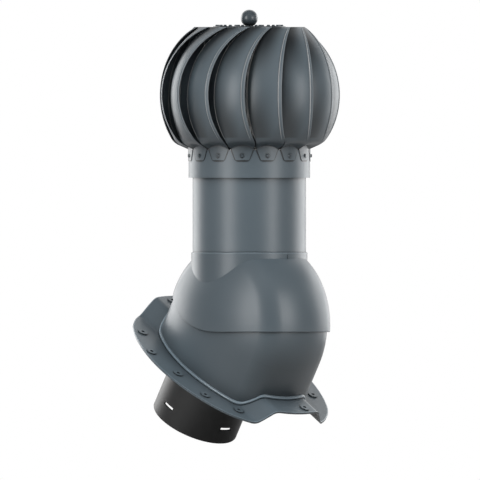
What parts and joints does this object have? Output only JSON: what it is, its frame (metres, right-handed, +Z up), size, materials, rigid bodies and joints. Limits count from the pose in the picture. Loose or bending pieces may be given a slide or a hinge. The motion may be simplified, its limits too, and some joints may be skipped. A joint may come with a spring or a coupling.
{
  "type": "rotating chimney cowl",
  "caption": "Wind-driven turbine cowl of curved blades on a round stack, with a hood that tilts on a wavy roof-tile base and a round duct spigot below.",
  "frame": {"origin": "where the duct spigot's axis crosses the roof's valley plane", "axes": "+Z up, +X down the roof slope, +Y along the roof, for a roof of 32 degrees"},
  "size_m": [0.2951, 0.262, 0.6121],
  "materials": {
    "base_moulding": "satin slate-grey moulding with a fine grain",
    "black_plastic": "black moulded plastic, slightly glossy",
    "hood_moulding": "satin slate-grey moulding with a fine grain",
    "blade_sheet": "slate-grey coated sheet, satin",
    "stack_sheet": "slate-grey coated sheet, satin",
    "rivet_paint": "slate-grey painted rivet heads",
    "steel": "zinc-plated steel",
    "bearing_steel": "ground bearing steel",
    "rubber": "black rubber",
    "bush_plastic": "white acetal"
  },
  "bodies": {
    "base": {"roof_base": "base_moulding", "base_plate": "black_plastic", "plate_screws": "steel", "duct_spigot": "black_plastic", "spigot_seal": "rubber"},
    "hood": {"hood": "hood_moulding", "pivot_washers": "steel", "pivot_screws": "steel", "stack_tube": "stack_sheet", "tube_seal": "rubber", "axle_bracket": "steel", "bracket_rivets": "steel", "axle": "steel", "axle_nuts": "steel", "axle_washers": "steel", "axle_collar": "steel", "bearing_inner_race": "bearing_steel", "bearing_nut": "steel"},
    "rotor": {"bearing_balls": "bearing_steel", "bearing_outer_race": "bearing_steel", "bearing_housing": "steel", "bearing_circlip": "steel", "housing_rivets": "rivet_paint", "crown_plate": "stack_sheet", "crown_rivets": "rivet_paint", "finial": "stack_sheet", "rotor_ring": "stack_sheet", "ring_rivets": "rivet_paint", "lower_spider": "steel", "lower_bush": "bush_plastic", "blade_01": "blade_sheet", "blade_02": "blade_sheet", "blade_03": "blade_sheet", "blade_04": "blade_sheet", "blade_05": "blade_sheet", "blade_06": "blade_sheet", "blade_07": "blade_sheet", "blade_08": "blade_sheet", "blade_09": "blade_sheet", "blade_10": "blade_sheet", "blade_11": "blade_sheet", "blade_12": "blade_sheet", "blade_13": "blade_sheet", "blade_14": "blade_sheet", "blade_15": "blade_sheet"}
  },
  "joints": [
    {"name": "hood_tilt", "type": "hinge", "parent": "base", "child": "hood", "pos_m": [0.06213, 0, 0.0515], "axis": [0, 1, 0], "range_deg": [-4, 15]},
    {"name": "rotor_spin", "type": "hinge", "parent": "hood", "child": "rotor", "pos_m": [0.06213, 0, 0.0515], "axis": [0, 0, 1], "continuous": true}
  ]
}
